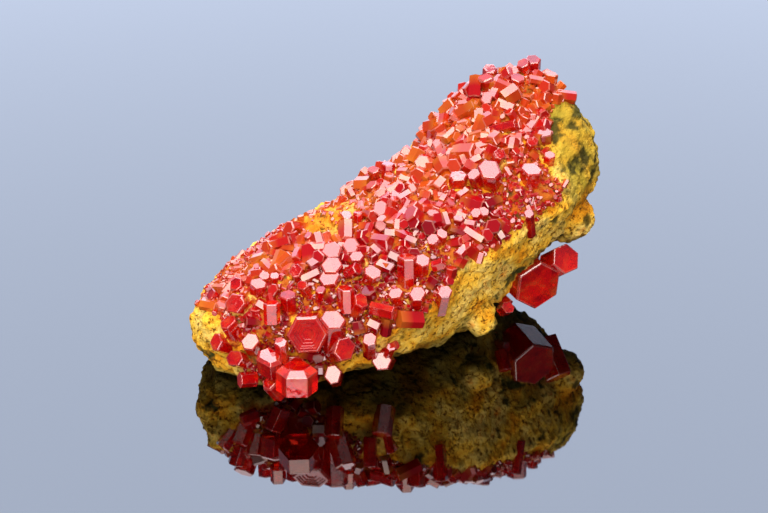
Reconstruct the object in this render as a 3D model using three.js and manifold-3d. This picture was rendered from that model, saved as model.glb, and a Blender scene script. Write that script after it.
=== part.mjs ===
// Vanadinite on matrix: a lump of ochre rock whose upper face carries a crust of small
// hexagonal crystals, with larger crystals standing out of it one by one and in groups.
// Millimetres, +Z up. X runs along the specimen, -Y is the face with the large crystals.

import * as THREE from 'three';
import { mergeVertices } from 'three/addons/utils/BufferGeometryUtils.js';
import Module from 'manifold-3d';

const wasm = await Module();
wasm.setup();

// ---------------------------------------------------------------- driving dimensions

const CLEARANCE = 0.3; // gap between neighbouring pieces
const ROCK_STEPS_ALONG = 25;
const ROCK_STEPS_ROUND = 24;
const LUMP_HEIGHT = 0.45; // broad lumps of the broken rock
const GRIT_HEIGHT = 0.28; // smaller lumps on them
const CRUST_ROOT = -0.7; // depth that its sheet starts at, before the rock is cut out of it
const CRUST_TIPS = 1.35; // usual height of its crystal tips over the rock's skin
const CRUST_RELIEF = 0.4; // how far the tips rise and fall about that
const CRUST_STEPS_ALONG = 27;
const CRUST_STEPS_DOWN = 9;
const END_BEVEL = 0.09; // bevel of a crystal's end, as a share of its width
const BEVELLED_FROM = 2.5; // width of the smallest crystal whose bevel is modelled
const CENTRE = [0.7, 0.3]; // middle of the specimen's footprint in the stations' frame

// Lines that run along the rock from its low end to its tall end. Each has a [y, z] for
// every station in STATIONS. Their order goes once round a cross-section, from the crest
// down the crystal face and back up the rear.
const STATIONS = [-28.6, -26.2, -21, -13, -5, 3, 8.5, 11.5, 19, 26, 30];
const LINES = {
  crest: [[2, 9], [3, 10.4], [4.5, 12.4], [5, 17.2], [5, 18.9], [4.6, 22.2], [4.4, 23.9], [4.6, 28], [5, 32],
    [4, 31.6], [2, 26.8]],
  upperFace: [[1, 9.3], [0.5, 11.2], [0, 13.8], [-1, 17.4], [-1.8, 19.2], [-2, 22.6], [-2, 24.8], [-2, 27.2],
    [-1, 29.4], [-1.5, 29.6], [0, 26.5]],
  lowerFace: [[0, 9.8], [-1.5, 11.6], [-4, 13.4], [-7, 15.4], [-9, 17], [-8.5, 20.6], [-8.3, 22.2],
    [-8, 23.6], [-6.5, 25.6], [-5.5, 26.4], [-2.8, 24.6]],
  brow: [[-1, 9], [-3.5, 10], [-7.8, 9.5], [-12.2, 11], [-15, 12.5], [-14, 17.1], [-13.4, 18.4],
    [-13, 19.2], [-11.3, 20.3], [-8, 22], [-4.5, 22.5]],
  cheek: [[-1.5, 7], [-4.3, 6.5], [-7.8, 5.3], [-11.8, 6.2], [-14, 8], [-13, 10.5], [-12.1, 12.7],
    [-11.5, 13.5], [-9.5, 14], [-6, 14.5], [-3, 17]],
  frontKeel: [[-0.5, 5], [-3.3, 2.6], [-6, 0.8], [-9.3, 2.4], [-11.5, 4], [-11, 4.8], [-9, 4.8], [-7.8, 5.2],
    [-5.5, 9], [-3, 11], [-1, 15]],
  belly: [[1, 4.5], [0, 1.2], [-1, -0.6], [-3, -0.7], [-4, -0.7], [-4, -0.7], [-2.6, -0.6], [-2, -0.4],
    [-1, 4.5], [0, 9], [0, 14.5]],
  rearKeel: [[2.5, 5], [3, 1.4], [5, -0.5], [6, -0.6], [7, -0.6], [7, -0.6], [6.3, -0.6], [6, -0.4], [5, 3],
    [2.5, 9], [1.5, 15]],
  rearLow: [[4, 6], [7.5, 4], [11, 2.5], [13.5, 2.5], [15.5, 2.8], [16, 3], [15.7, 3.2], [15.5, 3.5],
    [13, 6], [8, 12], [3.5, 17]],
  rearMiddle: [[4.5, 8], [8.5, 7], [12.8, 7], [15.2, 8.6], [17, 9.6], [17.5, 11.6], [17.2, 14], [17, 15.6],
    [15, 18.4], [10.5, 20.4], [5, 21]],
  rearHigh: [[3.4, 8.6], [5.8, 9.2], [9.2, 10.4], [11, 13.2], [12, 14.4], [12, 17.2], [11.6, 19],
    [11.4, 22.4], [11.6, 26.2], [9.3, 27.4], [4.5, 25.5]],
};
const LINE_COUNT = Object.keys(LINES).length;

// Knobs of rock that the lines can't hold: [centre, radii].
const KNOBS = {
  hangingNub: [[7.8, -9.6, 4.9], [2.2, 2.3, 2.8]],
  lowerLobe: [[25.4, -4.6, 13.2], [3.4, 3.2, 3.6]],
};

// The crust's two long edges, as lines counted from the crest, at CRUST_EDGE_AT along it.
const CRUST_EDGE_AT = [-27, -23, -18, -13, -9, -4, 4, 12, 20, 26.4];
const CRUST_REAR_EDGE = [-1.6, -1.3, -0.9, -0.5, -0.4, -0.5, -0.6, -0.7, -0.8, -0.4];
const CRUST_FRONT_EDGE = [4.2, 4.8, 4.7, 3.9, 3.2, 3.05, 3, 2.95, 2.9, 1];

// Places where the rock shows bare inside the crust: [along, around, radius].
const BARE_PATCHES = [
  [25.4, 1.7, 4.4],
  [22.2, 2.35, 4.3],
  [-8.8, 0.4, 5],
  [-19, 2.75, 1.6],
  [-25, 3.7, 1.6],
];

// The large crystals. Each row is [along, around, stand, width, length, facing, rise, turn]:
// where its axis leaves the rock's skin (x, and lines counted from the crest), how far its
// end stands above that skin, its width over the corners, its length, the compass bearing
// and rise of its axis in degrees, and its turn about the axis.
const CRYSTALS = {
  front_barrel_group: [
    [-19.4, 3.4, 4.2, 5.4, 3.4, 58, 80, 6],
    [-22.3, 3.4, 2.6, 3.8, 3, 236, 72, 30],
    [-19.9, 3.75, 1.8, 3.6, 4, 242, 26, 0],
    [-21, 3.05, 2.6, 2.1, 3.4, 228, 74, 30],
  ],
  barrel_foot_crystal: [[-22.4, 4.25, 2.5, 3, 3.2, 196, 56, 20]],
  low_left_tablet: [[-25.5, 4.6, 1.9, 2.2, 2.4, 176, 10, 0]],
  dark_left_crystal: [[-26, 3.9, 1.9, 2.5, 2.8, 214, 40, 10]],
  left_end_crystal: [[-27.6, 3.5, 1.5, 2.6, 4, 196, 36, 25]],
  rosette_cluster: [
    [-18, 2.95, 3.2, 5.4, 7, 236, 22, 5],
    [-14.9, 2.8, 3, 3.6, 6, 246, 68, 0],
    [-14.3, 3.3, 2.7, 3.4, 5, 262, 34, 0],
  ],
  rosette_foot_plate: [[-15.6, 4, 2.6, 2.8, 4, 238, 40, 15]],
  glassy_block: [[-24.8, 2.2, 2.2, 3.1, 4, 222, 34, 0]],
  glassy_side_prism: [[-26.1, 2.75, 1.7, 2.4, 2.8, 200, 62, 20]],
  white_top_prism: [[-21.5, 1.8, 2.3, 2.4, 4, 250, 68, 10]],
  tall_prism: [[-20.9, 2.3, 2.6, 2.3, 2.8, 66, 80, 0]],
  dark_block: [[-18.9, 2.2, 2.1, 2.3, 4, 236, 76, 30]],
  slanting_prism: [[-17, 2.1, 2.3, 1.8, 5, 205, 60, 10]],
  white_topped_prism: [[-15.2, 2.25, 1.9, 1.6, 4, 250, 78, 0]],
  white_plate_pair: [
    [-12.8, 1.85, 1.9, 3, 3, 236, 60, 0],
    [-13.7, 2.05, 1.6, 3, 3, 226, 54, 15],
  ],
  orange_cube: [[-10.1, 2.05, 1.9, 2, 2, 304, 40, 15]],
  white_square_crystal: [[-16.9, 1.7, 1.7, 2.4, 4, 214, 62, 30]],
  white_hexagon: [[-23.4, 1.1, 1.4, 2.2, 4, 206, 60, 5]],
  small_white_pair: [
    [-20.3, 1.5, 1.6, 1.6, 4, 230, 66, 20],
    [-19.3, 1.6, 1.4, 1.5, 4, 262, 70, 0],
  ],
  purple_pair: [
    [-12.5, 2.35, 2.2, 2.4, 3.2, 66, 80, 0],
    [-11.3, 2.6, 2.3, 2.4, 4, 282, 60, 0],
  ],
  long_slanting_crystal: [[-8, 2.9, 2.1, 2.2, 3.4, 304, 2, 30]],
  curved_crystal: [[-8.7, 2.2, 2.2, 2.5, 5, 262, 56, 10]],
  dark_hexagon: [[-11.4, 3.25, 1.8, 2.1, 4, 240, 62, 20]],
  lower_edge_group: [
    [-9.8, 4.05, 1.8, 2.8, 4, 232, 34, 10],
    [-8.9, 3.55, 1.7, 1.5, 4, 262, 56, 0],
    [-8.2, 3.6, 1.4, 1.3, 4, 290, 40, 20],
  ],
  left_top_crystal: [[-26, 0.45, 1.5, 2, 4, 176, 48, 0]],
  sunken_crystal: [[-24.4, 3.3, 1.3, 2.6, 5, 230, 50, 0]],
  crest_step_crystal: [[0.2, 0, 1.9, 1.9, 3, 196, 70, 0]],
  crest_step_block: [[1.8, 0.15, 1.9, 2, 3, 66, 80, 0]],
  shoulder_block: [[7, 1.45, 1.9, 2.5, 5, 236, 72, 10]],
  lilac_group: [
    [10.7, 1.75, 2.4, 3.7, 6, 228, 58, 0],
    [12.6, 1.6, 2, 2.1, 5, 268, 62, 20],
    [9, 1.6, 1.8, 2.1, 5, 210, 60, 10],
  ],
  deep_red_hexagon: [[15.4, 2.2, 2.2, 3.2, 6, 246, 70, 0]],
  lilac_ledge_crystal: [[17.6, 1.75, 1.7, 1.9, 4, 262, 58, 0]],
  ledge_edge_crystal: [[19.1, 2.15, 1.7, 1.7, 3, 244, 66, 25]],
  long_white_crystal: [[12.5, 2.8, 1.7, 1.6, 5, 226, 62, 0]],
  white_face_pair: [
    [6.2, 2.3, 1.6, 1.6, 4, 216, 56, 10],
    [7.3, 2.35, 1.6, 1.6, 4, 262, 60, 0],
  ],
  square_face_pair: [
    [0, 2.25, 1.8, 1.9, 4, 224, 60, 0],
    [1.3, 2.3, 1.8, 1.8, 4, 262, 62, 10],
  ],
  pink_bar: [[-0.2, 2.7, 1.6, 1.6, 1.6, 316, 24, 30]],
  bright_red_pair: [
    [-3.9, 2.2, 2.5, 2.8, 6, 66, 82, 0],
    [-2.3, 2.4, 2.1, 2.4, 5, 250, 68, 15],
  ],
  tall_white_crystal: [[-4.7, 2.75, 2.4, 2.4, 6, 242, 60, 0]],
  white_wedge_crystal: [[-7.2, 2.6, 2.1, 2.1, 5, 222, 60, 20]],
  brow_white_crystal: [[-1.7, 3, 2, 2.2, 5, 250, 60, 0]],
  lilac_block: [[-9.6, 1.8, 1.7, 2, 4, 224, 62, 10]],
  mound_pair: [
    [-7.4, 0.8, 1.6, 1.9, 4, 236, 72, 0],
    [-5.8, 0.85, 1.5, 1.7, 4, 66, 78, 10],
  ],
  crest_white_crystal: [[18.7, -0.05, 1.8, 2.1, 4, 240, 70, 0]],
  crest_top_pair: [
    [24.2, 0, 1.7, 2.3, 4, 236, 74, 10],
    [22.5, 0.1, 1.5, 2, 4, 196, 64, 0],
  ],
  crest_block: [[20.5, 0.4, 1.6, 2.1, 4, 250, 74, 20]],
  salmon_blade: [[16.6, 1.3, 1.7, 1.6, 4, 312, 22, 0]],
  underside_plate_pair: [
    [16, 4.85, 3.4, 7.4, 6, 264, 2, 24],
    [20.8, 4.4, 3.3, 4.4, 6, 268, 40, 8],
  ],
  underside_pink_crystal: [[11.2, 4.85, 2.2, 2, 3, 256, 40, 0]],
  underside_pink_prism: [[13.1, 5.2, 1.9, 1.8, 2.4, 280, -16, 20]],
};

// ---------------------------------------------------------------- the rock's surface

const lineCurves = Object.values(LINES).map(
  (points) => new THREE.CubicInterpolant(STATIONS, points.flat(), 2),
);

// A point on the rock's smooth skin: x along it, and around counted in lines from the crest.
function skinPoint(x, around) {
  const corners = lineCurves.map((curve) => {
    const [y, z] = curve.evaluate(x);
    return new THREE.Vector3(x, y, z);
  });
  const section = new THREE.CatmullRomCurve3(corners, true, 'catmullrom', 0.5);
  const share = ((around / LINE_COUNT) % 1 + 1) % 1;
  return section.getPoint(share);
}

function skinNormal(x, around) {
  const reach = 0.4;
  const low = STATIONS[0];
  const high = STATIONS[STATIONS.length - 1];
  const before = skinPoint(Math.max(x - reach, low), around);
  const after = skinPoint(Math.min(x + reach, high), around);
  const alongX = after.sub(before);
  const downward = skinPoint(x, around + 0.1).sub(skinPoint(x, around - 0.1));
  return downward.cross(alongX).normalize();
}

// Height of the broken rock's lumps over its smooth skin.
function lumpHeight({ x, y, z }) {
  const broad = Math.sin(0.42 * x + 0.3 * z) * Math.sin(0.5 * y - 0.35 * z + 1.1);
  const grit = Math.sin(1.25 * x + 0.4 * y) * Math.sin(1.1 * z - 0.9 * y) * Math.cos(0.8 * y + 0.5 * x);
  return LUMP_HEIGHT * broad + GRIT_HEIGHT * grit;
}

// The skin with its lumps, raised by a height.
function raisedPoint(x, around, height) {
  const point = skinPoint(x, around);
  const rise = lumpHeight(point) + height;
  return point.addScaledVector(skinNormal(x, around), rise);
}

// ---------------------------------------------------------------- geometry helpers

function cleaned(geometry) {
  geometry.deleteAttribute('normal');
  geometry.deleteAttribute('uv');
  return mergeVertices(geometry, 1e-5);
}

function solidFrom(geometry) {
  const merged = cleaned(geometry);
  const mesh = new wasm.Mesh({
    numProp: 3,
    vertProperties: new Float32Array(merged.attributes.position.array),
    triVerts: new Uint32Array(merged.index.array),
  });
  return new wasm.Manifold(mesh);
}

function geometryFrom(solid) {
  const mesh = solid.getMesh();
  const geometry = new THREE.BufferGeometry();
  geometry.setAttribute('position', new THREE.BufferAttribute(mesh.vertProperties, 3));
  geometry.setIndex(new THREE.BufferAttribute(mesh.triVerts, 1));
  return geometry;
}

function largestBody(solid) {
  const bodies = solid.decompose();
  return bodies.reduce((best, body) => (body.volume() > best.volume() ? body : best));
}

function mapPositions(geometry, place) {
  const positions = geometry.attributes.position;
  const point = new THREE.Vector3();
  for (let i = 0; i < positions.count; i += 1) {
    point.fromBufferAttribute(positions, i);
    const placed = place(point);
    positions.setXYZ(i, placed.x, placed.y, placed.z);
  }
  return geometry;
}

// Reads a value listed at CRUST_EDGE_AT, with straight lines between.
function edgeAt(values, x) {
  const curve = new THREE.LinearInterpolant(CRUST_EDGE_AT, values, 1);
  return curve.evaluate(x)[0];
}

// ---------------------------------------------------------------- rock

function knobSolid([centre, radii], growth) {
  const ball = new THREE.IcosahedronGeometry(1, 2);
  ball.scale(...radii.map((radius) => radius + growth));
  ball.translate(...centre);
  return solidFrom(ball);
}

// The whole rock, grown outwards by a height.
function rockSolid(growth) {
  const low = STATIONS[0];
  const high = STATIONS[STATIONS.length - 1];
  const length = high - low;
  const barrel = new THREE.CylinderGeometry(1, 1, 1, ROCK_STEPS_ROUND, ROCK_STEPS_ALONG);
  mapPositions(barrel, (point) => {
    const share = point.y + 0.5;
    const eased = 0.55 * share + 0.45 * (0.5 - 0.5 * Math.cos(Math.PI * share));
    const x = low + length * eased;
    const around = (Math.atan2(point.x, point.z) / (2 * Math.PI)) * LINE_COUNT;
    const isHub = Math.hypot(point.x, point.z) < 0.5;
    const overhang = (share - 0.5) * 2 * growth * (share < 0.001 || share > 0.999 ? 1 : 0);
    if (isHub) {
      const opposite = skinPoint(x, LINE_COUNT / 2);
      const hub = skinPoint(x, 0).lerp(opposite, 0.5);
      hub.x += (share < 0.5 ? -0.6 : 0.6) + overhang;
      return hub;
    }
    const rim = raisedPoint(x, around, growth);
    rim.x += overhang;
    return rim;
  });
  let rock = solidFrom(barrel);
  for (const knob of Object.values(KNOBS)) {
    rock = rock.add(knobSolid(knob, growth));
  }
  return rock;
}

function cutFlatBelow(solid) {
  const slab = new THREE.BoxGeometry(100, 100, 10);
  slab.translate(0, 0, -5);
  return solid.subtract(solidFrom(slab));
}

// ---------------------------------------------------------------- crystals

// A crystal, or with a growth the plain prism that makes room for it.
function crystalSolid([along, around, stand, width, length, facing, rise, turn], growth) {
  const radius = width / 2 + growth;
  const bevel = growth > 0 || width < BEVELLED_FROM ? 0 : width * END_BEVEL;
  const profile = [
    new THREE.Vector2(0, -length),
    new THREE.Vector2(radius, -length),
    new THREE.Vector2(radius, growth - bevel),
    new THREE.Vector2(0, growth),
  ];
  if (bevel > 0) {
    profile.splice(3, 0, new THREE.Vector2(radius - bevel * 1.3, 0));
  }
  const prism = new THREE.LatheGeometry(profile, 6);
  prism.rotateX(Math.PI / 2);
  prism.rotateZ(THREE.MathUtils.degToRad(turn));
  prism.rotateY(THREE.MathUtils.degToRad(90 - rise));
  prism.rotateZ(THREE.MathUtils.degToRad(facing));
  const foot = skinPoint(along, around);
  const tip = foot.addScaledVector(skinNormal(along, around), stand);
  prism.translate(tip.x, tip.y, tip.z);
  return solidFrom(prism);
}

function groupSolid(rows, growth) {
  return rows.map((row) => crystalSolid(row, growth)).reduce((joined, solid) => joined.add(solid));
}

// ---------------------------------------------------------------- crust

// A repeatable scatter between -1 and 1, so that neighbouring crust crystals differ.
function scatter(column, row) {
  const wave = Math.sin(column * 127.1 + row * 311.7) * 43758.5453;
  return 2 * (wave - Math.floor(wave)) - 1;
}

function crustSolid() {
  const low = CRUST_EDGE_AT[0];
  const length = CRUST_EDGE_AT[CRUST_EDGE_AT.length - 1] - low;
  const sheet = new THREE.BoxGeometry(1, 1, 1, CRUST_STEPS_ALONG, CRUST_STEPS_DOWN, 1);
  mapPositions(sheet, (point) => {
    const x = low + length * (point.x + 0.5);
    const rear = edgeAt(CRUST_REAR_EDGE, x);
    const front = edgeAt(CRUST_FRONT_EDGE, x);
    const around = front + (rear - front) * (point.y + 0.5);
    if (point.z < 0) {
      return raisedPoint(x, around, CRUST_ROOT);
    }
    const column = Math.round((point.x + 0.5) * CRUST_STEPS_ALONG);
    const row = Math.round((point.y + 0.5) * CRUST_STEPS_DOWN);
    return raisedPoint(x, around, CRUST_TIPS + CRUST_RELIEF * scatter(column, row));
  });
  return solidFrom(sheet);
}

function patchSolid([along, around, radius]) {
  const ball = new THREE.IcosahedronGeometry(radius, 1);
  const centre = skinPoint(along, around);
  ball.translate(centre.x, centre.y, centre.z);
  return solidFrom(ball);
}

// ---------------------------------------------------------------- the specimen

const specimen = new THREE.Group();
specimen.position.set(-CENTRE[0], -CENTRE[1], 0);

function addPiece(name, solid, color, roughness) {
  const material = new THREE.MeshStandardMaterial({ color, roughness, metalness: 0 });
  const piece = new THREE.Mesh(geometryFrom(solid), material);
  piece.name = name;
  specimen.add(piece);
}

const rock = cutFlatBelow(rockSolid(0));
const rockWithGap = rockSolid(CLEARANCE);
addPiece('matrix', rock, 0xc98f2c, 0.9);

let crust = crustSolid().subtract(rockWithGap);
for (const patch of BARE_PATCHES) {
  crust = crust.subtract(patchSolid(patch));
}
for (const rows of Object.values(CRYSTALS)) {
  crust = crust.subtract(groupSolid(rows, CLEARANCE));
}
addPiece('druse_crust', cutFlatBelow(largestBody(crust)), 0xd9481f, 0.35);

for (const [name, rows] of Object.entries(CRYSTALS)) {
  const crystal = groupSolid(rows, 0).subtract(rockWithGap);
  addPiece(name, cutFlatBelow(largestBody(crystal)), 0xb5121f, 0.15);
}

export default specimen;
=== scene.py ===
"""Vanadinite on matrix: the finish of the rock, its crust of small crystals and the large ones."""

import math
import random
from typing import NamedTuple

import bmesh
import bpy
import numpy as np
from bpy.props import FloatProperty, FloatVectorProperty, IntProperty, PointerProperty
from mathutils import Matrix, Vector, noise
from mathutils.bvhtree import BVHTree
from mathutils.kdtree import KDTree


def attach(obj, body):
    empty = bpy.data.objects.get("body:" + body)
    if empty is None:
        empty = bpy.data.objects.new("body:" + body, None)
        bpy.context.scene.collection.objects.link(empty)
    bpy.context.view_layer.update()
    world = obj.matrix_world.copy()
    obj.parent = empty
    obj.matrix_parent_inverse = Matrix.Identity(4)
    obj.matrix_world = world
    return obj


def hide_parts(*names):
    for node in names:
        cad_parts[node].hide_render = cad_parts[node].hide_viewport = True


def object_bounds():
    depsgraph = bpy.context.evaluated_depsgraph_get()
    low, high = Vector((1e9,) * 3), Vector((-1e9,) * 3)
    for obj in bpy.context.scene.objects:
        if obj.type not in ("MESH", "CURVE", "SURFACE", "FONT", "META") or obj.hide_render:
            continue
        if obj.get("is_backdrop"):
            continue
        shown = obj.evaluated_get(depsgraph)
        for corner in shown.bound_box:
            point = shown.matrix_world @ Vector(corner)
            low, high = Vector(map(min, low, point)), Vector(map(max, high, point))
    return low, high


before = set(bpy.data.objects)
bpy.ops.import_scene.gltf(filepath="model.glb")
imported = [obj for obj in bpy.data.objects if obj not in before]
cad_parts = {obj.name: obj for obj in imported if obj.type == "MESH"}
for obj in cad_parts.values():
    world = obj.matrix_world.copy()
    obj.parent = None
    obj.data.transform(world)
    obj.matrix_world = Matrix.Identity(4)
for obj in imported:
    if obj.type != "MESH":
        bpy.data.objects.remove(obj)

bl_info = {
    "name": "Vanadinite specimen",
    "version": (1, 0, 0),
    "blender": (4, 5, 0),
    "location": "3D View > Sidebar > Specimen",
    "description": "Builds a vanadinite specimen on ochre rock around its packed model",
    "category": "Object",
}

MM = 0.001
CAD_LOW, CAD_HIGH = (Vector(corner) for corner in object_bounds())

# How much of the painted highlight that pales the edges shows on the bevel round an end and on a growth
# terrace.
BEVEL_HIGHLIGHT = 0.3
TERRACE_HIGHLIGHT = 0.6

# Half of a regular hexagon's width over its flats, for a width of 1 over its corners.
HALF_FLATS = 0.433

# Middle of the nearly bare mound at the rear left of the rock, in millimetres.
BARE_MOUND = Vector((-7.9, 4.2, 18.8))

# Moves the rock's noise to a stretch that suits it.
NOISE_SHIFT = Vector((11.3, 4.7, 8.1))

# Fall-off, lacunarity and octaves of the noise that makes the crags and the stained streaks.
CRAG_NOISE = (0.7, 2.2, 4)
STREAK_NOISE = (0.8, 2.1, 4)

# Small crystals are copies of this many shapes.
SMALL_SHAPES = 14


class Crystal(NamedTuple):
    """A large crystal: its width over the corners and its length in millimetres, its axis's
    compass bearing and rise and its turn about it in degrees, the number of growth terraces on
    its end, and the bevel round its end as a share of its width."""

    width: float
    length: float
    facing: float
    rise: float
    turn: float
    terraces: int = 0
    bevel: float = 0.05


# The crystals of each CAD node; those of one node have grown together.
LARGE_CRYSTALS = {
    "front_barrel_group": [
        Crystal(5.4, 3.4, 58, 80, 6, bevel=0.14),
        Crystal(3.8, 3, 236, 72, 30, bevel=0.1),
        Crystal(3.6, 4, 242, 26, 0),
        Crystal(2.1, 3.4, 228, 74, 30),
    ],
    "barrel_foot_crystal": [Crystal(3, 3.2, 196, 56, 20, bevel=0.07)],
    "low_left_tablet": [Crystal(2.2, 2.4, 176, 10, 0)],
    "dark_left_crystal": [Crystal(2.5, 2.8, 214, 40, 10)],
    "left_end_crystal": [Crystal(2.6, 4, 196, 36, 25)],
    "rosette_cluster": [
        Crystal(5.4, 7, 236, 22, 5, terraces=4),
        Crystal(3.6, 6, 246, 68, 0),
        Crystal(3.4, 5, 262, 34, 0),
    ],
    "rosette_foot_plate": [Crystal(2.8, 4, 238, 40, 15)],
    "glassy_block": [Crystal(3.1, 4, 222, 34, 0)],
    "glassy_side_prism": [Crystal(2.4, 2.8, 200, 62, 20)],
    "white_top_prism": [Crystal(2.4, 4, 250, 68, 10)],
    "tall_prism": [Crystal(2.3, 2.8, 66, 80, 0)],
    "dark_block": [Crystal(2.3, 4, 236, 76, 30)],
    "slanting_prism": [Crystal(1.8, 5, 205, 60, 10)],
    "white_topped_prism": [Crystal(1.6, 4, 250, 78, 0)],
    "white_plate_pair": [Crystal(3, 3, 236, 60, 0), Crystal(3, 3, 226, 54, 15)],
    "orange_cube": [Crystal(2, 2, 304, 40, 15)],
    "white_square_crystal": [Crystal(2.4, 4, 214, 62, 30)],
    "white_hexagon": [Crystal(2.2, 4, 206, 60, 5)],
    "small_white_pair": [Crystal(1.6, 4, 230, 66, 20), Crystal(1.5, 4, 262, 70, 0)],
    "purple_pair": [Crystal(2.4, 3.2, 66, 80, 0), Crystal(2.4, 4, 282, 60, 0)],
    "long_slanting_crystal": [Crystal(2.2, 3.4, 304, 2, 30)],
    "curved_crystal": [Crystal(2.5, 5, 262, 56, 10)],
    "dark_hexagon": [Crystal(2.1, 4, 240, 62, 20)],
    "lower_edge_group": [
        Crystal(2.8, 4, 232, 34, 10),
        Crystal(1.5, 4, 262, 56, 0),
        Crystal(1.3, 4, 290, 40, 20),
    ],
    "left_top_crystal": [Crystal(2, 4, 176, 48, 0)],
    "sunken_crystal": [Crystal(2.6, 5, 230, 50, 0)],
    "crest_step_crystal": [Crystal(1.9, 3, 196, 70, 0)],
    "crest_step_block": [Crystal(2, 3, 66, 80, 0)],
    "shoulder_block": [Crystal(2.5, 5, 236, 72, 10)],
    "lilac_group": [
        Crystal(3.7, 6, 228, 58, 0),
        Crystal(2.1, 5, 268, 62, 20),
        Crystal(2.1, 5, 210, 60, 10),
    ],
    "deep_red_hexagon": [Crystal(3.2, 6, 246, 70, 0)],
    "lilac_ledge_crystal": [Crystal(1.9, 4, 262, 58, 0)],
    "ledge_edge_crystal": [Crystal(1.7, 3, 244, 66, 25)],
    "long_white_crystal": [Crystal(1.6, 5, 226, 62, 0)],
    "white_face_pair": [Crystal(1.6, 4, 216, 56, 10), Crystal(1.6, 4, 262, 60, 0)],
    "square_face_pair": [Crystal(1.9, 4, 224, 60, 0), Crystal(1.8, 4, 262, 62, 10)],
    "pink_bar": [Crystal(1.6, 1.6, 316, 24, 30)],
    "bright_red_pair": [Crystal(2.8, 6, 66, 82, 0), Crystal(2.4, 5, 250, 68, 15)],
    "tall_white_crystal": [Crystal(2.4, 6, 242, 60, 0)],
    "white_wedge_crystal": [Crystal(2.1, 5, 222, 60, 20)],
    "brow_white_crystal": [Crystal(2.2, 5, 250, 60, 0)],
    "lilac_block": [Crystal(2, 4, 224, 62, 10)],
    "mound_pair": [Crystal(1.9, 4, 236, 72, 0), Crystal(1.7, 4, 66, 78, 10)],
    "crest_white_crystal": [Crystal(2.1, 4, 240, 70, 0)],
    "crest_top_pair": [Crystal(2.3, 4, 236, 74, 10), Crystal(2, 4, 196, 64, 0)],
    "crest_block": [Crystal(2.1, 4, 250, 74, 20)],
    "salmon_blade": [Crystal(1.6, 4, 312, 22, 0)],
    "underside_plate_pair": [
        Crystal(7.4, 6, 264, 2, 24, bevel=0.03),
        Crystal(4.4, 6, 268, 40, 8, bevel=0.03),
    ],
    "underside_pink_crystal": [Crystal(2, 3, 256, 40, 0)],
    "underside_pink_prism": [Crystal(1.8, 2.4, 280, -16, 20)],
}

# ---------------------------------------------------------------- settings


def linear(hex_colour):
    """An sRGB hex colour as linear red, green, blue and alpha."""
    channels = [int(hex_colour[i : i + 2], 16) / 255 for i in (1, 3, 5)]
    curved = [c / 12.92 if c <= 0.04045 else ((c + 0.055) / 1.055) ** 2.4 for c in channels]
    return (*curved, 1.0)


class RockSettings(bpy.types.PropertyGroup):
    """Sizes and tints of the rock's surface."""

    seed: IntProperty(name="Seed", description="Repeatable pits", default=5, min=1)
    mesh_step: FloatProperty(
        name="Mesh step", description="Spacing of the rock's mesh", default=0.29 * MM, unit="LENGTH"
    )
    crag: FloatProperty(name="Crag", description="Width of the broken crags", default=2.8 * MM, unit="LENGTH")
    crag_height: FloatProperty(
        name="Crag height", description="Height of the broken crags", default=0.55 * MM, unit="LENGTH"
    )
    crevice_depth: FloatProperty(
        name="Crevice depth", description="Depth of the crevices", default=0.35 * MM, unit="LENGTH"
    )
    grain: FloatProperty(
        name="Grain", description="Width of the rock's rounded grains", default=0.95 * MM, unit="LENGTH"
    )
    grain_height: FloatProperty(
        name="Grain height", description="Height of the grains", default=0.3 * MM, unit="LENGTH"
    )
    pit: FloatProperty(name="Pit", description="Spacing of the dark pits", default=1.7 * MM, unit="LENGTH")
    pit_depth: FloatProperty(
        name="Pit depth", description="Depth of the dark pits", default=0.6 * MM, unit="LENGTH"
    )
    fullness: FloatProperty(
        name="Fullness", description="How far the whole skin stands out", default=0.2 * MM, unit="LENGTH"
    )
    green_tint: FloatVectorProperty(
        name="Green tint", description="Tint of the high end", default=linear("#A8942E")[:3], subtype="COLOR"
    )
    rust_tint: FloatVectorProperty(
        name="Rust tint", description="Tint under the crust", default=linear("#A83210")[:3], subtype="COLOR"
    )


class LargeCrystalSettings(bpy.types.PropertyGroup):
    """Shape and colour of the large crystals."""

    seed: IntProperty(name="Seed", description="Repeatable random shape", default=7)
    chip: FloatProperty(
        name="Chip", description="Wear of the other edges as a share of a crystal's width", default=0.011
    )
    least: FloatProperty(
        name="Least side", description="How far a pair of sides may be cut in, as a share", default=0.8
    )
    even_width: FloatProperty(
        name="Even width", description="Crystals wider than this are regular", default=4 * MM, unit="LENGTH"
    )
    # Painted highlight: the pale colour mixed into the edges.
    edge_highlight_colour: FloatVectorProperty(
        name="Edge colour", description="Colour of worn edges", default=linear("#FFC4B8")[:3], subtype="COLOR"
    )
    body_colour: FloatVectorProperty(
        name="Body colour", description="Colour let through", default=linear("#F8302A")[:3], subtype="COLOR"
    )
    body_density: FloatProperty(name="Body density", description="Absorption per metre", default=90.0)


class CrustSettings(bpy.types.PropertyGroup):
    """Numbers, sizes and colours of the crust's small crystals."""

    seed: IntProperty(name="Seed", description="Repeatable random placing", default=11)
    tries: IntProperty(
        name="Tries", description="Places tried for the crust's middle-sized crystals", default=18000
    )
    fine_tries: IntProperty(
        name="Fine tries", description="Places tried for the fine crystals between them", default=34000
    )
    smallest: FloatProperty(
        name="Smallest", description="Width of the finest crystals", default=0.38 * MM, unit="LENGTH"
    )
    usual: FloatProperty(
        name="Usual", description="Width of the usual crystals", default=1.95 * MM, unit="LENGTH"
    )
    dust_colour: FloatVectorProperty(
        name="Dust colour", description="Dust at the feet", default=linear("#E08A24")[:3], subtype="COLOR"
    )
    # Painted highlight: the pale colour mixed into the edges.
    edge_highlight_colour: FloatVectorProperty(
        name="Edge colour", description="Colour of worn edges", default=linear("#FFC0A8")[:3], subtype="COLOR"
    )


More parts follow.
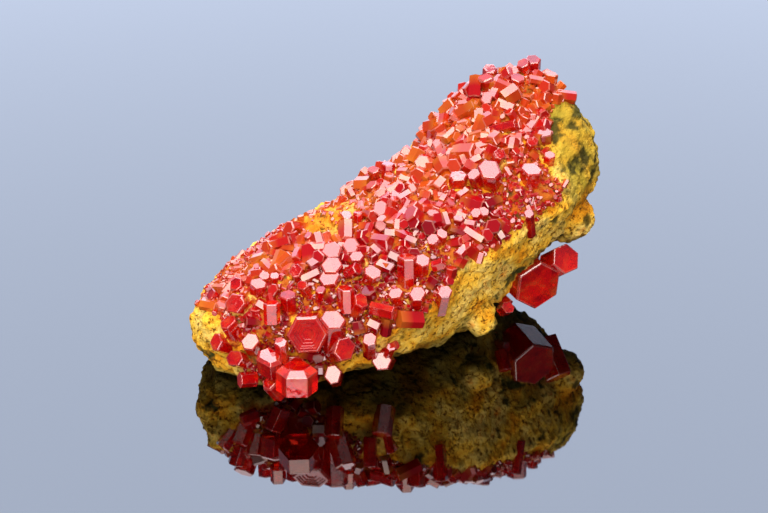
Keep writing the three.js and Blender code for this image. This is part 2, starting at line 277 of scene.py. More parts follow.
class StageSettings(bpy.types.PropertyGroup):
    """Camera and light."""

    azimuth: FloatProperty(
        name="Azimuth", description="Bearing of the view", default=math.radians(-29), subtype="ANGLE"
    )
    elevation: FloatProperty(
        name="Elevation", description="Camera's height angle", default=math.radians(30), subtype="ANGLE"
    )
    distance: FloatProperty(
        name="Distance", description="Camera to specimen", default=0.24, unit="LENGTH"
    )
    aim: FloatVectorProperty(
        name="Aim",
        description="Place at the middle of the view",
        default=(0.3563 * MM, 4.8027 * MM, 8.617 * MM),
        subtype="XYZ",
        unit="LENGTH",
    )
    lens: FloatProperty(name="Lens", description="Focal length in millimetres", default=79.7)
    backdrop: FloatVectorProperty(
        name="Backdrop", description="Colour of the room", default=(0.68, 0.78, 1.0), subtype="COLOR"
    )
    room_level: FloatProperty(name="Room level", description="Brightness of the room", default=3.0)
    softbox_distance: FloatProperty(
        name="Softbox distance", description="Softboxes to specimen", default=0.5, unit="LENGTH"
    )
    key_power: FloatProperty(name="Key", description="Overhead softbox in watts", default=2.8)
    fill_power: FloatProperty(name="Fill", description="Front softbox in watts", default=3.2)
    low_power: FloatProperty(name="Low light", description="Low front softbox in watts", default=0.45)


# ---------------------------------------------------------------- helpers


def add_node(tree, kind, settings=None, values=None, links=None):
    """Adds a node, sets its settings and input values, and links its inputs from sockets."""
    node = tree.nodes.new(kind)
    for name, value in (settings or {}).items():
        setattr(node, name, value)
    for name, value in (values or {}).items():
        node.inputs[name].default_value = value
    for name, socket in (links or {}).items():
        tree.links.new(socket, node.inputs[name])
    return node


def colour_steps(ramp_node, steps):
    """Sets a colour ramp's stops from (place, hex colour) pairs."""
    elements = ramp_node.color_ramp.elements
    while len(elements) < len(steps):
        elements.new(0.5)
    for element, (place, colour) in zip(elements, steps):
        element.position = place
        element.color = linear(colour)


def new_material(name):
    """An empty node material, its node tree and its output node."""
    material = bpy.data.materials.new(name)
    material.use_nodes = True
    tree = material.node_tree
    tree.nodes.clear()
    output = tree.nodes.new("ShaderNodeOutputMaterial")
    return material, tree, output


def piece_from_mesh(name, mesh, material, nodes):
    """Makes a mesh a finished piece that stands for its CAD nodes."""
    piece = bpy.data.objects.new(name, mesh)
    bpy.context.scene.collection.objects.link(piece)
    mesh.materials.clear()
    mesh.materials.append(material)
    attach(piece, "root")
    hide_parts(*nodes)


def merged_copy(node):
    """A bmesh of a CAD node with its loose triangles joined."""
    shape = bmesh.new()
    shape.from_mesh(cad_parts[node].data)
    bmesh.ops.remove_doubles(shape, verts=shape.verts, dist=0.002 * MM)
    return shape


def tree_of(node):
    """A ray tree of a CAD node."""
    shape = merged_copy(node)
    tree = BVHTree.FromBMesh(shape)
    shape.free()
    return tree


def direction(facing, rise):
    """Unit vector of a compass bearing and a rise in degrees."""
    bearing = math.radians(facing)
    height = math.radians(rise)
    return Vector(
        (math.cos(bearing) * math.cos(height), math.sin(bearing) * math.cos(height), math.sin(height))
    )


def smooth_share(value, low, high):
    """0 below low, 1 above high, and a smooth rise between."""
    share = min(max((value - low) / (high - low), 0.0), 1.0)
    return share * share * (3 - 2 * share)


def mound_share(place):
    """0 on the nearly bare mound, 1 away from it."""
    return smooth_share((place / MM - BARE_MOUND).length, 5.6, 7.6)


def under_crust(crust_tree, place, normal):
    """Whether the CAD crust lies over a place on the rock."""
    return crust_tree.ray_cast(place - normal * 0.6 * MM, normal, 3.2 * MM)[0] is not None


# ---------------------------------------------------------------- rock


def rock_mesh(settings):
    """The rock with its grains, crags and dark pits in the mesh."""
    shape = merged_copy("matrix")
    smooth = bpy.data.meshes.new("rock_blank")
    shape.to_mesh(smooth)
    shape.free()
    blank = bpy.data.objects.new("rock_blank", smooth)
    bpy.context.scene.collection.objects.link(blank)
    remesh = blank.modifiers.new("even_mesh", "REMESH")
    remesh.mode = "VOXEL"
    remesh.voxel_size = settings.mesh_step
    relax = blank.modifiers.new("worn_edges", "SMOOTH")
    relax.factor = 0.5
    relax.iterations = 6
    view = bpy.context.evaluated_depsgraph_get()
    mesh = bpy.data.meshes.new_from_object(blank.evaluated_get(view))
    bpy.data.objects.remove(blank)
    roughen_rock(mesh, settings)
    return mesh


def pit_at(place, settings):
    """How deep a place lies in one of the rock's pits, 0 to 1. The pits are bent out of round,
    differ in size and gather in some places."""
    bent = place + noise.noise_vector(place / (1.1 * MM)) * 0.45 * MM
    distances, centres = noise.voronoi(bent / settings.pit)
    luck = noise.cell(centres[0] * 7.3)
    gathered = 0.5 + 0.5 * noise.noise(place / (5 * MM))
    reach = 0.42 * luck * luck * gathered
    return 1 - smooth_share(distances[0], reach * 0.3, reach + 0.05)


def crevice_at(place):
    """How deep a place lies in a crevice, 0 to 1. Crevices run along in some places only."""
    along = 1 - smooth_share(abs(noise.noise(place / (2.6 * MM) + NOISE_SHIFT * 2)), 0.0, 0.09)
    return along * smooth_share(noise.noise(place / (6 * MM) - NOISE_SHIFT), -0.1, 0.4)


def high_end_share(place):
    """1 on the rock's high end, where copper stains it green, and 0 elsewhere."""
    return smooth_share(place.x, 18 * MM, 22 * MM) * smooth_share(place.z, 16 * MM, 21 * MM)


def stain_and_under_shade_at(place, normal, pit, crevice):
    """How dark a place is, 0 to 1: dark stains in pits and crevices and in streaks that are thicker
    toward the high end, and painted shade on faces turned down."""
    streak = noise.fractal(place / (2.4 * MM) - NOISE_SHIFT, *STREAK_NOISE)
    thicker = 0.3 * high_end_share(place) + 0.15 * smooth_share(place.x, 4 * MM, 12 * MM)
    streaked = smooth_share(streak + thicker, 0.42, 0.85)
    # Painted shade: faces turned down are darkened as if in their own shadow.
    under = smooth_share(-normal.z, 0.3, 0.8)
    return min(pit + 0.35 * crevice + 0.9 * streaked + 0.75 * under, 1.0)


def roughen_rock(mesh, settings):
    """Moves the rock's vertices out and in, and stores how dark each one is from stains and from
    painted shade underneath, how green and how crusted each one is."""
    noise.seed_set(settings.seed)
    surface = [(vertex.co.copy(), vertex.normal.copy()) for vertex in mesh.vertices]
    crust_tree = tree_of("druse_crust")
    places, stains, greens, crusted = [], [], [], []
    for place, normal in surface:
        crag = noise.fractal(place / settings.crag + NOISE_SHIFT, *CRAG_NOISE)
        grain = 0.5 - noise.voronoi(place / settings.grain)[0][0]
        crevice = crevice_at(place)
        pit = pit_at(place, settings)
        move = settings.crag_height * crag + settings.grain_height * grain
        move -= settings.pit_depth * pit + settings.crevice_depth * crevice
        # The facet it rests on stays flat.
        free = smooth_share(place.z, 0.1 * MM, 1.2 * MM)
        moved = place + normal * ((move + settings.fullness) * free)
        places.extend((moved.x, moved.y, max(moved.z, 0.0)))
        # The stored darkness holds the painted shade underneath as well as the stains.
        stains.append(stain_and_under_shade_at(place, normal, pit, crevice))
        patchy = 0.75 + 0.6 * noise.noise(place / (2.2 * MM))
        greens.append(min(high_end_share(place) * patchy, 1.0))
        covered = float(under_crust(crust_tree, place, normal))
        crusted.append(max(covered, 0.5 * (1 - mound_share(place))))
    for key, values in (("stain_and_under_shade", stains), ("green", greens), ("crusted", crusted)):
        mesh.attributes.new(key, "FLOAT", "POINT").data.foreach_set("value", values)
    mesh.vertices.foreach_set("co", places)
    mesh.update()


def limonite_material(settings):
    """Limonite, broken and weathered: earthy yellow to orange-brown grains, dull, with nearly
    black manganese and green copper stains in its pits, and painted shade on its underside."""
    material, tree, output = new_material("Limonite_ochre")
    place = add_node(tree, "ShaderNodeTexCoord").outputs["Object"]
    # Paler and rustier blotches about 6 mm across.
    blotch = add_node(
        tree,
        "ShaderNodeTexNoise",
        values={"Scale": 1 / (5.882 * MM), "Detail": 4.0, "Roughness": 0.6},
        links={"Vector": place},
    )
    ochre = add_node(tree, "ShaderNodeValToRGB", links={"Fac": blotch.outputs["Fac"]})
    colour_steps(
        ochre, [(0.3, "#C4780E"), (0.4, "#F7A81E"), (0.5, "#FFCB42"), (0.61, "#FFDE72"), (0.72, "#F6941A")]
    )
    # The gaps between grains are about 0.1 mm wide, and drawn coarser so that they show.
    speck = add_node(
        tree,
        "ShaderNodeTexNoise",
        values={"Scale": 1 / (0.6667 * MM), "Detail": 4.0, "Roughness": 0.75},
        links={"Vector": place},
    )
    speck_shade = add_node(tree, "ShaderNodeValToRGB", links={"Fac": speck.outputs["Fac"]})
    colour_steps(speck_shade, [(0.37, "#2E2108"), (0.42, "#C9A55A"), (0.47, "#FFFFFF")])
    grained = add_node(
        tree,
        "ShaderNodeMix",
        settings={"data_type": "RGBA", "blend_type": "MULTIPLY"},
        values={"Factor": 0.9},
        links={"A": ochre.outputs["Color"], "B": speck_shade.outputs["Color"]},
    )
    green = add_node(tree, "ShaderNodeAttribute", settings={"attribute_name": "green"})
    greenish = add_node(
        tree,
        "ShaderNodeMix",
        settings={"data_type": "RGBA"},
        values={"B": (*settings.green_tint, 1.0)},
        links={"Factor": green.outputs["Fac"], "A": grained.outputs[2]},
    )
    crusted = add_node(tree, "ShaderNodeAttribute", settings={"attribute_name": "crusted"})
    crusted_share = add_node(
        tree,
        "ShaderNodeMath",
        settings={"operation": "MULTIPLY"},
        values={1: 0.8},
        links={0: crusted.outputs["Fac"]},
    )
    rusty = add_node(
        tree,
        "ShaderNodeMix",
        settings={"data_type": "RGBA"},
        values={"B": (*settings.rust_tint, 1.0)},
        links={"Factor": crusted_share.outputs["Value"], "A": greenish.outputs[2]},
    )
    # Painted shade: the stored darkness also darkens the underside as if shaded.
    stain_and_under_shade = add_node(tree, "ShaderNodeAttribute", settings={"attribute_name": "stain_and_under_shade"})
    # Stains and the painted shade on the underside turn from black to olive over about 9 mm.
    stain_and_shade_patch = add_node(
        tree, "ShaderNodeTexNoise", values={"Scale": 1 / (9.091 * MM), "Detail": 3.0}, links={"Vector": place}
    )
    stain_and_shade_colour = add_node(tree, "ShaderNodeValToRGB", links={"Fac": stain_and_shade_patch.outputs["Fac"]})
    colour_steps(stain_and_shade_colour, [(0.4, "#23260F"), (0.6, "#4B4A1E")])
    stained_and_shaded = add_node(
        tree,
        "ShaderNodeMix",
        settings={"data_type": "RGBA"},
        links={"Factor": stain_and_under_shade.outputs["Fac"], "A": rusty.outputs[2], "B": stain_and_shade_colour.outputs["Color"]},
    )
    # Grains finer than the mesh, drawn as coarse as the gaps between them.
    fine = add_node(
        tree,
        "ShaderNodeTexNoise",
        values={"Scale": 1 / (0.6667 * MM), "Detail": 4.0, "Roughness": 0.7},
        links={"Vector": place},
    )
    bump = add_node(
        tree,
        "ShaderNodeBump",
        values={"Strength": 1.0, "Distance": 0.3 * MM},
        links={"Height": fine.outputs["Fac"]},
    )
    shader = add_node(
        tree,
        "ShaderNodeBsdfPrincipled",
        values={"Roughness": 0.85, "Specular IOR Level": 0.15},
        links={"Base Color": stained_and_shaded.outputs[2], "Normal": bump.outputs["Normal"]},
    )
    tree.links.new(shader.outputs["BSDF"], output.inputs["Surface"])
    return material


# ---------------------------------------------------------------- large crystals


def crystal_turn(crystal):
    """Rotation that stands a crystal along its axis."""
    return (
        Matrix.Rotation(math.radians(crystal.facing), 3, "Z")
        @ Matrix.Rotation(math.radians(90 - crystal.rise), 3, "Y")
        @ Matrix.Rotation(math.radians(crystal.turn), 3, "Z")
    )


def end_centre(node, crystal):
    """Centre of a CAD crystal's end face, from the planes of its end and of its sides."""
    stand = crystal_turn(crystal)
    apothem = crystal.width * MM / 2 * math.cos(math.radians(30))
    sides = [Vector((math.cos(a), math.sin(a), 0)) for a in np.radians(range(0, 360, 60))]
    planes = [(stand @ Vector((0, 0, 1)), 0.0)] + [(stand @ side, apothem) for side in sides]
    weights, sums = np.zeros((3, 3)), np.zeros(3)
    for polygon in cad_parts[node].data.polygons:
        for normal, offset in planes:
            if polygon.normal.dot(normal) > 0.99999:
                weights += polygon.area * np.outer(normal, normal)
                sums += polygon.area * (normal.dot(polygon.center) - offset) * np.array(normal)
    if np.linalg.matrix_rank(weights, tol=1e-9) < 3:
        raise RuntimeError(f"{node} shows too few faces of the crystal {crystal}")
    return Vector(np.linalg.solve(weights, sums))


def end_face(shape):
    """The face at a crystal's upper end."""
    return max(shape.faces, key=lambda face: (round(face.calc_center_median().z, 6), face.calc_area()))


def bevel_edges(shape, edges, offset, layer, painted_highlight):
    """Bevels edges and gives the new faces a share of painted highlight in a face layer."""
    made = bmesh.ops.bevel(
        shape,
        geom=edges,
        offset=offset,
        offset_type="OFFSET",
        segments=1,
        profile=0.5,
        affect="EDGES",
        material=-1,
    )
    for face in made["faces"]:
        face[layer] = painted_highlight


def hexagonal_prism(width, length):
    """A bmesh of a prism with its upper end at the origin, and its face layer of painted edge highlights."""
    shape = bmesh.new()
    layer = shape.faces.layers.float.new("edge")
    bmesh.ops.create_cone(
        shape, cap_ends=True, cap_tris=False, segments=6, radius1=width / 2, radius2=width / 2, depth=length
    )
    bmesh.ops.translate(shape, verts=shape.verts, vec=(0, 0, -length / 2))
    return shape, layer


def uneven_sides(shape, width, least, rng):
    """Cuts two of a hexagonal prism's three pairs of sides in, so that its end is a longer
    or a nearly rhombic hexagon."""
    even = rng.randrange(3)
    for pair in range(3):
        share = rng.uniform(least, 1.0)
        if pair == even:
            continue
        for bearing in (60 * pair, 60 * pair + 180):
            outward = direction(bearing, 0)
            cut = bmesh.ops.bisect_plane(
                shape,
                geom=shape.verts[:] + shape.edges[:] + shape.faces[:],
                plane_co=outward * (HALF_FLATS * width * share),
                plane_no=outward,
                clear_outer=True,
            )
            rim = [item for item in cut["geom_cut"] if isinstance(item, bmesh.types.BMEdge)]
            bmesh.ops.edgeloop_fill(shape, edges=rim)


def large_crystal_shape(crystal, settings, rng):
    """A bmesh of one large crystal: its end face at the origin, its body below."""
    width, length = crystal.width * MM, crystal.length * MM
    shape, layer = hexagonal_prism(width, length)
    if width < settings.even_width:
        uneven_sides(shape, width, settings.least, rng)
    bevel_edges(shape, list(end_face(shape).edges), crystal.bevel * width, layer, BEVEL_HIGHLIGHT)
    # The foot is sunk in the rock and keeps its sharp edges.
    shown = [edge for edge in shape.edges if max(end.co.z for end in edge.verts) > -0.9 * length]
    # The chipped edges get the full painted highlight.
    bevel_edges(shape, shown, settings.chip * width, layer, 1.0)
    top = end_face(shape)
    for _ in range(crystal.terraces):
        # Each terrace is a low step down or up, a share of the crystal's width.
        inset = width * rng.uniform(0.03, 0.1)
        step = width * rng.choice((-0.03, 0.022))
        bmesh.ops.inset_region(shape, faces=[top], thickness=inset, depth=0.0)
        made = bmesh.ops.inset_region(shape, faces=[top], thickness=width * 0.02, depth=step)
        # The terrace's rim gets part of the painted highlight.
        for face in made["faces"]:
            face[layer] = TERRACE_HIGHLIGHT
    return shape


def crystal_mesh(name, crystals, settings, rng):
    """One mesh of a crystal, or of crystals grown together and joined."""
    parts = []
    for crystal in crystals:
        shape = large_crystal_shape(crystal, settings, rng)
        stand = Matrix.Translation(end_centre(name, crystal)) @ crystal_turn(crystal).to_4x4()
        bmesh.ops.transform(shape, matrix=stand, verts=shape.verts)
        mesh = bpy.data.meshes.new(name)
        shape.to_mesh(mesh)
        shape.free()
        parts.append(mesh)
    if len(parts) == 1:
        return parts[0]
    return united(name, parts)


def united(name, parts):
    """One closed mesh of several that overlap."""
    objects = [bpy.data.objects.new(f"{name}_{index}", mesh) for index, mesh in enumerate(parts)]
    for item in objects:
        bpy.context.scene.collection.objects.link(item)
    base = objects[0]
    for other in objects[1:]:
        join = base.modifiers.new("grown_together", "BOOLEAN")
        join.operation = "UNION"
        join.solver = "EXACT"
        join.object = other
    view = bpy.context.evaluated_depsgraph_get()
    mesh = bpy.data.meshes.new_from_object(base.evaluated_get(view))
    for item in objects:
        bpy.data.objects.remove(item)
    if len(mesh.polygons) <= max(len(part.polygons) for part in parts):
        raise RuntimeError(f"{name}'s crystals didn't join")
    return mesh


def vanadinite_material(settings):
    """Clear vanadinite: a very high refractive index gives it an almost metallic glint, the
    body swallows everything but red, and its edges are paled with a painted highlight."""
    material, tree, output = new_material("Vanadinite_crystal")
    place = add_node(tree, "ShaderNodeTexCoord").outputs["Object"]
    # Clouds of tiny flaws about 2 mm across.
    cloud = add_node(
        tree,
        "ShaderNodeTexNoise",
        values={"Scale": 1 / (1.923 * MM), "Detail": 4.0, "Roughness": 0.6},
        links={"Vector": place},
    )
    tint = add_node(tree, "ShaderNodeValToRGB", links={"Fac": cloud.outputs["Fac"]})
    colour_steps(tint, [(0.34, "#C80412"), (0.45, "#F00C10"), (0.55, "#FA240A"), (0.68, "#FF5A28")])
    # Painted highlight: the edges are mixed toward a pale pink.
    edge = add_node(tree, "ShaderNodeAttribute", settings={"attribute_name": "edge"})
    edge_highlight_share = add_node(
        tree,
        "ShaderNodeMath",
        settings={"operation": "MULTIPLY"},
        values={1: 0.3},
        links={0: edge.outputs["Fac"]},
    )
    colour = add_node(
        tree,
        "ShaderNodeMix",
        settings={"data_type": "RGBA"},
        values={"B": (*settings.edge_highlight_colour, 1.0)},
        links={"Factor": edge_highlight_share.outputs["Value"], "A": tint.outputs["Color"]},
    )
    frost = add_node(
        tree,
        "ShaderNodeMapRange",
        values={"From Min": 0.35, "From Max": 0.7, "To Min": 0.02, "To Max": 0.08},
        links={"Value": cloud.outputs["Fac"]},
    )
    # Growth ripples on the faces are finer than 0.1 mm, and drawn coarser so that they show.
    ripple = add_node(
        tree, "ShaderNodeTexNoise", values={"Scale": 1 / (1.111 * MM), "Detail": 2.0}, links={"Vector": place}
    )
    bump = add_node(
        tree,
        "ShaderNodeBump",
        values={"Strength": 0.25, "Distance": 0.05 * MM},
        links={"Height": ripple.outputs["Fac"]},
    )
    shader = add_node(
        tree,
        "ShaderNodeBsdfPrincipled",
        values={"IOR": 2.1, "Transmission Weight": 0.6},
        links={
            "Base Color": colour.outputs[2],
            "Roughness": frost.outputs["Result"],
            "Normal": bump.outputs["Normal"],
        },
    )
    body = add_node(
        tree,
        "ShaderNodeVolumeAbsorption",
        values={"Color": (*settings.body_colour, 1.0), "Density": settings.body_density},
    )
    tree.links.new(shader.outputs["BSDF"], output.inputs["Surface"])
    tree.links.new(body.outputs["Volume"], output.inputs["Volume"])
    return material


# ---------------------------------------------------------------- crust


def small_crystal_shape(rng, flat):
    """Vertex places, faces and painted edge highlights of one small crystal of width 1, its end at 0."""
    shape, layer = hexagonal_prism(1.0, 0.85 if flat else 1.3)
    uneven_sides(shape, 1.0, 0.7, rng)
    # The bevel round the end gets the full painted highlight.
    bevel_edges(shape, list(end_face(shape).edges), 0.06, layer, 1.0)
    bmesh.ops.triangulate(shape, faces=shape.faces)
    places = np.array([vertex.co[:] for vertex in shape.verts])
    faces = np.array([[vertex.index for vertex in face.verts] for face in shape.faces])
    painted_highlights = np.array([face[layer] for face in shape.faces])
    shape.free()
    return places, faces, painted_highlights


def crust_zones(place):
    """Crystal size, redness and cover at a place on the rock, each 0 to 1. Crystals are redder
    and larger at the low front, and finer along the right edge, at the rear left and on the
    bare mound, which is thinly covered."""
    x, y, z = (value / MM for value in place)
    front = smooth_share(-y, -1, 10)
    left = smooth_share(-x, -8, 14)
    right_edge = smooth_share(x, 2, 12) * smooth_share(-y, 6, 11)
    rear_left = smooth_share(y, 2, 8) * smooth_share(-x, 4, 12)
    patch = noise.noise(Vector((x, y, z)) / 6 + Vector((3, 1, 2)))
    redness = min(max(0.24 + 0.85 * front * (0.5 + 0.5 * left) + 0.35 * patch, 0), 1)
    size = 0.4 + 0.3 * front * left + 0.45 * patch - 0.6 * right_edge - 0.9 * rear_left
    size = min(max(size, 0), 1)
    mound = mound_share(place)
    cover = min(max(0.95 + 0.3 * patch - 0.3 * right_edge, 0), 1) * (0.35 + 0.65 * mound)
    return size * (0.3 + 0.7 * mound), redness * (0.3 + 0.7 * mound), cover


class Neighbours:
    """Keeps placed crystals in a grid so that near ones are found quickly."""

    def __init__(self, cell):
        self.cell = cell
        self.cells = {}

    def key(self, place):
        """The grid cell that holds a place."""
        return tuple(int(math.floor(value / self.cell)) for value in place)

    def free_at(self, place, width, crowding):
        """Whether a crystal fits; crowding is its least distance as a share of both widths."""
        kx, ky, kz = self.key(place)
        for dx in (-1, 0, 1):
            for dy in (-1, 0, 1):
                for dz in (-1, 0, 1):
                    for other, other_width in self.cells.get((kx + dx, ky + dy, kz + dz), ()):
                        if (other - place).length < crowding * (width + other_width):
                            return False
        return True

    def add(self, place, width):
        """Keeps a placed crystal."""
        self.cells.setdefault(self.key(place), []).append((place, width))


def rock_places(rock, count, rng):
    """Random places and normals of the rock, each with its own random shares, so that no crystal
    depends on the order of the rock's faces."""
    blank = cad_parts["matrix"].data
    grains = KDTree(len(rock.vertices))
    for vertex in rock.vertices:
        grains.insert(vertex.co, vertex.index)
    grains.balance()
    edges = np.cumsum([polygon.area for polygon in blank.polygons])
    for draw, spread in zip(rng.random((count, 13)), rng.normal(0, 1, count)):
        polygon = blank.polygons[int(np.searchsorted(edges, draw[0] * edges[-1]))]
        first, second, third = (blank.vertices[index].co for index in polygon.vertices)
        across, along = draw[1:3] if draw[1] + draw[2] < 1 else 1 - draw[1:3]
        spot = first + (second - first) * across + (third - first) * along
        nearest = rock.vertices[grains.find(spot)[1]]
        yield nearest.co.copy(), nearest.normal.copy(), draw[3:], spread


def crystal_axis(normal, stray, lean):
    """Axis of a small crystal: many lie on their sides, some stand up, the rest point anywhere."""
    stray = Vector([share - 0.5 for share in stray]).normalized()
    if lean < 0.24:
        axis = normal + stray * 0.5
    elif lean < 0.72:
        axis = stray - normal * (0.8 * stray.dot(normal))
    else:
        axis = stray + normal * 0.3
    axis.normalize()
    return -axis if axis.dot(normal) < 0 else axis


def large_crystal_tree():
    """A ray tree of all the large crystals."""
    shape = bmesh.new()
    for name in LARGE_CRYSTALS:
        shape.from_mesh(bpy.data.meshes[f"vanadinite_{name}"])
    tree = BVHTree.FromBMesh(shape)
    shape.free()
    return tree


def small_width(fine, size, luck, settings):
    """Width of a small crystal, from its zone's size and its own luck."""
    if fine:
        return settings.smallest * (1 + 1.5 * luck * luck)
    width = settings.usual * (0.6 + 0.45 * size + 0.6 * luck**2)
    return width * (0.5 + 0.5 * smooth_share(size, 0.0, 0.3))


def crust_places(rock, settings):
    """Middle, axis, width, tone, turn and pick of a shape for every small crystal. The middle-sized
    ones are placed first, clear of the large crystals, and the fine ones between them."""
    rng = np.random.default_rng(settings.seed)
    crust_tree = tree_of("druse_crust")
    large_tree = large_crystal_tree()
    near = Neighbours(3 * MM)
    placed = []
    for tries, fine in ((settings.tries, False), (settings.fine_tries, True)):
        crowding = 0.22 if fine else 0.27
        for place, normal, luck, spread in rock_places(rock, tries, rng):
            chance, girth, *stray, lean, mound_chance, height, turn, pick = luck
            on_mound = (place / MM - BARE_MOUND).length < 6.5 and fine and mound_chance < 0.3
            if not under_crust(crust_tree, place, normal) and not on_mound:
                continue
            size, redness, cover = crust_zones(place)
            if chance > (cover if fine else cover * cover):
                continue
            width = small_width(fine, size, girth, settings)
            if not near.free_at(place, width, crowding):
                continue
            touched = large_tree.find_nearest(place + normal * 0.5 * width, 0.5 * width)[0]
            if touched is not None and not fine:
                continue
            near.add(place, width)
            axis = crystal_axis(normal, stray, lean)
            raised = width * (0.3 if fine else 0.36) * height
            middle = place + normal * raised + axis * (0.45 * width)
            tone = min(max(redness + 0.16 * spread, 0), 1)
            placed.append((middle, axis, width, tone, turn * math.tau, pick))
    return placed


def crust_mesh(name, rows, seed):
    """Joins copies of a few small crystals into one mesh, with their tone and height stored."""
    shape_rng = random.Random(seed)
    shapes = [small_crystal_shape(shape_rng, index % 2 == 0) for index in range(SMALL_SHAPES)]
    all_places, all_faces, all_painted_highlights, tones, rises = [], [], [], [], []
    base = 0
    for middle, axis, width, tone, turn, pick in rows:
        places, faces, painted_highlights = shapes[int(pick * len(shapes))]
        stand = axis.to_track_quat("Z", "Y").to_matrix() @ Matrix.Rotation(turn, 3, "Z")
        all_places.append(places @ (np.array(stand).T * width) + np.array(middle))
        all_faces.append(faces + base)
        all_painted_highlights.append(painted_highlights)
        tones.append(np.full(len(places), tone))
        rises.append(np.clip(1 + places[:, 2] / 0.9, 0, 1))
        base += len(places)
    mesh = bpy.data.meshes.new(name)
    mesh.from_pydata(np.concatenate(all_places).tolist(), [], np.concatenate(all_faces).tolist())
    # The edge layer holds the painted highlight.
    layers = (("tone", "POINT", tones), ("rise", "POINT", rises), ("edge", "FACE", all_painted_highlights))
    for key, domain, values in layers:
        layer = mesh.attributes.new(key, "FLOAT", domain)
        layer.data.foreach_set("value", np.concatenate(values).astype(np.float32))
    mesh.update()
    return mesh


def small_vanadinite_material(settings):
    """Small vanadinite crystals: bright orange-red, cloudy at the foot where limonite dust lies
    between them, paler along the edges of the end with a painted highlight, and glossy on every face."""
    material, tree, output = new_material("Vanadinite_druse")
    tone = add_node(tree, "ShaderNodeAttribute", settings={"attribute_name": "tone"})
    hue = add_node(tree, "ShaderNodeValToRGB", links={"Fac": tone.outputs["Fac"]})
    colour_steps(
        hue, [(0.0, "#D86218"), (0.22, "#D04412"), (0.45, "#CA220C"), (0.7, "#C00A12"), (1.0, "#900210")]
    )
    rise = add_node(tree, "ShaderNodeAttribute", settings={"attribute_name": "rise"})
    dust = add_node(
        tree,
        "ShaderNodeMapRange",
        values={"From Min": 0.0, "From Max": 0.5, "To Min": 0.5, "To Max": 0.0},
        links={"Value": rise.outputs["Fac"]},
    )
    body = add_node(
        tree,
        "ShaderNodeMix",
        settings={"data_type": "RGBA"},
        values={"B": (*settings.dust_colour, 1.0)},
        links={"Factor": dust.outputs["Result"], "A": hue.outputs["Color"]},
    )
    # Painted highlight: the edges are mixed toward a pale pink.
    edge = add_node(tree, "ShaderNodeAttribute", settings={"attribute_name": "edge"})
    edge_highlight_share = add_node(
        tree,
        "ShaderNodeMath",
        settings={"operation": "MULTIPLY"},
        values={1: 0.22},
        links={0: edge.outputs["Fac"]},
    )
    colour = add_node(
        tree,
        "ShaderNodeMix",
        settings={"data_type": "RGBA"},
        values={"B": (*settings.edge_highlight_colour, 1.0)},
        links={"Factor": edge_highlight_share.outputs["Value"], "A": body.outputs[2]},
    )
    shader = add_node(
        tree,
        "ShaderNodeBsdfPrincipled",
        values={"IOR": 2.0, "Transmission Weight": 0.22, "Roughness": 0.08},
        links={"Base Color": colour.outputs[2]},
    )
    tree.links.new(shader.outputs["BSDF"], output.inputs["Surface"])
    return material


# ---------------------------------------------------------------- stage


def make_floor():
    """A wide table of pale polished metal, glossy enough to mirror the specimen."""
    shape = bmesh.new()
    bmesh.ops.create_grid(shape, x_segments=1, y_segments=1, size=3.0)
    mesh = bpy.data.meshes.new("table")
    shape.to_mesh(mesh)
    shape.free()
    table = bpy.data.objects.new("table", mesh)
    bpy.context.scene.collection.objects.link(table)
    material, tree, output = new_material("Table_polished")
    shader = add_node(
        tree,
        "ShaderNodeBsdfPrincipled",
        values={"Base Color": linear("#757575"), "Metallic": 1.0, "Roughness": 0.03},
    )
    tree.links.new(shader.outputs["BSDF"], output.inputs["Surface"])
    mesh.materials.append(material)
    table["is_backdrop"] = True


def area_light(name, place, target, size, power, colour):
    """A soft rectangular light that looks at a point."""
    lamp = bpy.data.lights.new(name, "AREA")
    lamp.shape = "RECTANGLE"
    lamp.size, lamp.size_y = size
    lamp.energy = power
    lamp.color = linear(colour)[:3]
    holder = bpy.data.objects.new(name, lamp)
    bpy.context.scene.collection.objects.link(holder)
    aim = (target - place).normalized()
    holder.matrix_world = Matrix.Translation(place) @ aim.to_track_quat("-Z", "Y").to_matrix().to_4x4()


def make_room(scene, settings):
    """A room that is dim but for a broad pale glow behind the specimen, and three softboxes."""
    world = bpy.data.worlds.new("pale_room")
    world.use_nodes = True
    tree = world.node_tree
    looking = add_node(tree, "ShaderNodeTexCoord").outputs["Generated"]
    # The glow is centred low on the side away from the camera, so that the table mirrors it.
    behind = add_node(
        tree,
        "ShaderNodeVectorMath",
        settings={"operation": "DOT_PRODUCT"},
        values={1: direction(61, 22)},
        links={0: looking},
    )
    shade = add_node(tree, "ShaderNodeValToRGB", links={"Fac": behind.outputs["Value"]})
    dim, bright = shade.color_ramp.elements
    backdrop = Vector(settings.backdrop)
    dim.position, dim.color = 0.6, (*backdrop * 0.04, 1)
    bright.position, bright.color = 0.93, (*backdrop, 1)
    background = tree.nodes["Background"]
    tree.links.new(shade.outputs["Color"], background.inputs["Color"])
    background.inputs["Strength"].default_value = settings.room_level
    scene.world = world
    middle = Vector((0, 0, 17 * MM))
    softboxes = (
        ("softbox_overhead", 61, 87, (0.44, 0.44), settings.key_power, "#FFF2F4"),
        ("softbox_front", 226, 45, (0.46, 0.38), settings.fill_power, "#FFF6EC"),
        ("softbox_low", 252, 5, (0.3, 0.12), settings.low_power, "#FFF2F4"),
    )
    for name, facing, rise, size, power, colour in softboxes:
        place = middle + direction(facing, rise) * settings.softbox_distance
        area_light(name, place, middle, size, power, colour)
    scene.view_settings.view_transform = "Standard"


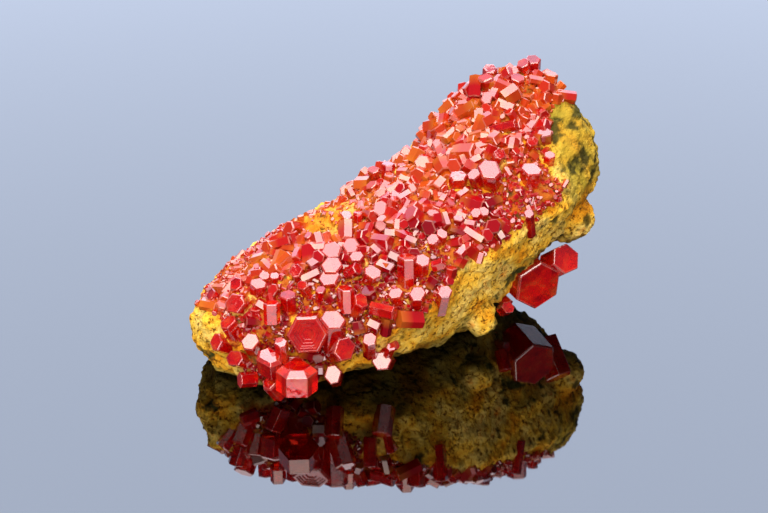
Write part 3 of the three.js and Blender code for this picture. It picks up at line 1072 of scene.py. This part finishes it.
def make_camera(scene, settings):
    """The camera looks down the specimen's length from its low end."""
    back = direction(math.degrees(settings.azimuth) - 90, math.degrees(settings.elevation))
    right = Vector((math.cos(settings.azimuth), math.sin(settings.azimuth), 0))
    up = right.cross(-back)
    data = bpy.data.cameras.new("camera")
    data.lens = settings.lens
    data.sensor_width = 36
    data.clip_start = 0.01
    camera = bpy.data.objects.new("camera", data)
    scene.collection.objects.link(camera)
    place = Vector(settings.aim) + back * settings.distance
    turn = Matrix((right, up, back)).transposed().to_4x4()
    camera.matrix_world = Matrix.Translation(place) @ turn
    scene.camera = camera


# ---------------------------------------------------------------- operators


class SPECIMEN_OT_rock(bpy.types.Operator):
    """Make the lump of limonite rock"""

    bl_idname = "specimen.rock"
    bl_label = "Rock"

    def execute(self, context):
        settings = context.scene.specimen_rock
        mesh = rock_mesh(settings)
        mesh.name = "limonite_rock"
        piece_from_mesh("limonite_rock", mesh, limonite_material(settings), ["matrix"])
        return {"FINISHED"}


class SPECIMEN_OT_large_crystals(bpy.types.Operator):
    """Make the large crystals and the groups of them"""

    bl_idname = "specimen.large_crystals"
    bl_label = "Large crystals"

    def execute(self, context):
        settings = context.scene.specimen_large
        rng = random.Random(settings.seed)
        material = vanadinite_material(settings)
        for name, crystals in LARGE_CRYSTALS.items():
            mesh = crystal_mesh(name, crystals, settings, rng)
            mesh.name = f"vanadinite_{name}"
            piece_from_mesh(f"vanadinite_{name}", mesh, material, [name])
        return {"FINISHED"}


class SPECIMEN_OT_crust(bpy.types.Operator):
    """Grow the crust of small crystals over the rock, between the large ones"""

    bl_idname = "specimen.crust"
    bl_label = "Crust"

    def execute(self, context):
        settings = context.scene.specimen_crust
        rows = crust_places(bpy.data.meshes["limonite_rock"], settings)
        mesh = crust_mesh("druse_small_crystals", rows, settings.seed)
        material = small_vanadinite_material(settings)
        piece_from_mesh("druse_small_crystals", mesh, material, ["druse_crust"])
        return {"FINISHED"}


class SPECIMEN_OT_stage(bpy.types.Operator):
    """Set the glossy pale table, the soft light and the camera"""

    bl_idname = "specimen.stage"
    bl_label = "Stage"

    def execute(self, context):
        settings = context.scene.specimen_stage
        make_floor()
        make_room(context.scene, settings)
        make_camera(context.scene, settings)
        return {"FINISHED"}


class SPECIMEN_PT_panel(bpy.types.Panel):
    """The specimen's pieces"""

    bl_idname = "SPECIMEN_PT_panel"
    bl_label = "Specimen"
    bl_space_type = "VIEW_3D"
    bl_region_type = "UI"
    bl_category = "Specimen"

    def draw(self, context):
        for operator in OPERATORS:
            self.layout.operator(operator.bl_idname)


# ---------------------------------------------------------------- registration

SETTINGS = {
    "specimen_rock": RockSettings,
    "specimen_large": LargeCrystalSettings,
    "specimen_crust": CrustSettings,
    "specimen_stage": StageSettings,
}
OPERATORS = (
    SPECIMEN_OT_rock,
    SPECIMEN_OT_large_crystals,
    SPECIMEN_OT_crust,
    SPECIMEN_OT_stage,
)


def register():
    for name, group in SETTINGS.items():
        bpy.utils.register_class(group)
        setattr(bpy.types.Scene, name, PointerProperty(type=group))
    for operator in OPERATORS:
        bpy.utils.register_class(operator)
    bpy.utils.register_class(SPECIMEN_PT_panel)


def unregister():
    bpy.utils.unregister_class(SPECIMEN_PT_panel)
    for operator in reversed(OPERATORS):
        bpy.utils.unregister_class(operator)
    for name, group in SETTINGS.items():
        delattr(bpy.types.Scene, name)
        bpy.utils.unregister_class(group)


def main():
    register()
    bpy.ops.specimen.rock()
    bpy.ops.specimen.large_crystals()
    bpy.ops.specimen.crust()
    bpy.ops.specimen.stage()
    low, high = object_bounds()
    boxes = {"cad": [list(CAD_LOW), list(CAD_HIGH)], "visual": [list(low), list(high)]}


if __name__ == "__main__":
    main()
